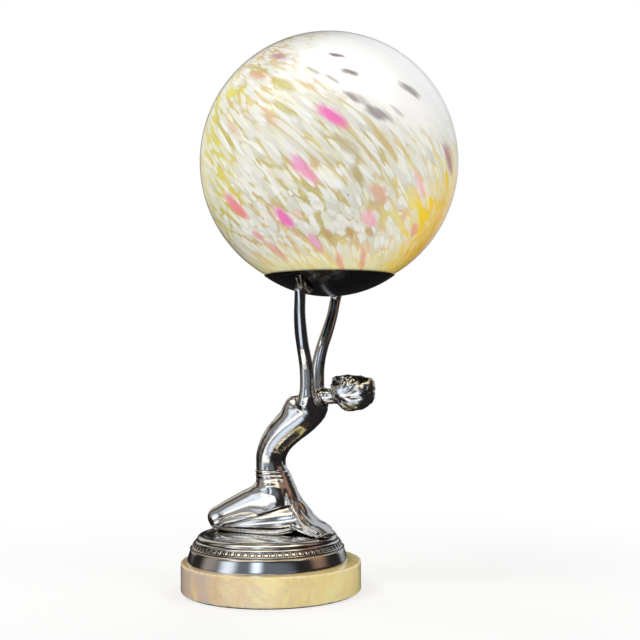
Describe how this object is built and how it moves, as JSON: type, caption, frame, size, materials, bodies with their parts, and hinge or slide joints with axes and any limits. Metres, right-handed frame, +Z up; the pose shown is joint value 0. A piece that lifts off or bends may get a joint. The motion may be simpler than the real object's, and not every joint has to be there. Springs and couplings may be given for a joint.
{
  "type": "figural table lamp",
  "caption": "Kneeling cast figure on a stepped metal base and round stone slab, arms raised under a black dish that carries a large mottled glass globe.",
  "frame": {"origin": "on the felt's underside, straight below the metal base's axis", "axes": "+Z up; the figure faces -X, her left side is towards -Y, and the globe's axis stands behind her, towards +X"},
  "size_m": [0.2211, 0.199, 0.4305],
  "materials": {
    "felt": "pressed wool felt, matt",
    "onyx": "polished onyx, cloudy cream and yellow with mauve-brown veils",
    "black_plastic": "moulded, satin",
    "steel": "zinc-plated",
    "silver_plate": "silver plate over cast metal, bright on the high places and dark with tarnish in the hollows",
    "black_enamel": "gloss black enamel on spun metal",
    "brass": "turned, lightly aged",
    "porcelain": "glazed",
    "lead_sheath": "round two-core flex",
    "globe_glass": "cased mottled glass: white flakes over yellow with pink and mauve spots, gloss",
    "cap_metal": "rolled thread",
    "black_glass": "gloss",
    "solder": "soldered",
    "frosted_glass": "frosted inside",
    "clear_glass": "clear",
    "tungsten": "drawn wire"
  },
  "bodies": {
    "lamp": {"base_felt": "felt", "stone_slab": "onyx", "inlet_bush": "black_plastic", "clamp_tube": "steel", "clamp_washer": "steel", "clamp_nut": "brass", "metal_base": "silver_plate", "figure_body": "silver_plate", "figure_head": "silver_plate", "left_arm": "silver_plate", "right_arm": "silver_plate", "gallery_dish": "black_enamel", "gallery_plate": "steel", "left_stud_washer": "steel", "right_stud_washer": "steel", "left_stud_nut": "brass", "right_stud_nut": "brass", "holder_nipple": "brass", "nipple_locknut": "brass", "holder_cap": "brass", "holder_insert": "porcelain", "holder_shell": "brass", "screw_shell": "brass", "centre_contact": "brass", "terminal_screws": "brass", "inner_lead": "lead_sheath"},
    "globe": {"glass_globe": "globe_glass"},
    "bulb": {"bulb_cap": "cap_metal", "bulb_insulator": "black_glass", "bulb_contact": "solder", "bulb_glass": "frosted_glass", "bulb_stem": "clear_glass", "bulb_filament": "tungsten"}
  },
  "joints": [
    {"name": "globe_lift", "type": "slide", "parent": "lamp", "child": "globe", "axis": [0, 0, 1], "range_m": [0, 0.16]},
    {"name": "bulb_unscrew", "type": "hinge", "parent": "lamp", "child": "bulb", "pos_m": [0.0545, 0, 0.285], "axis": [0, 0, 1], "range_deg": [0, 1080]}
  ]
}
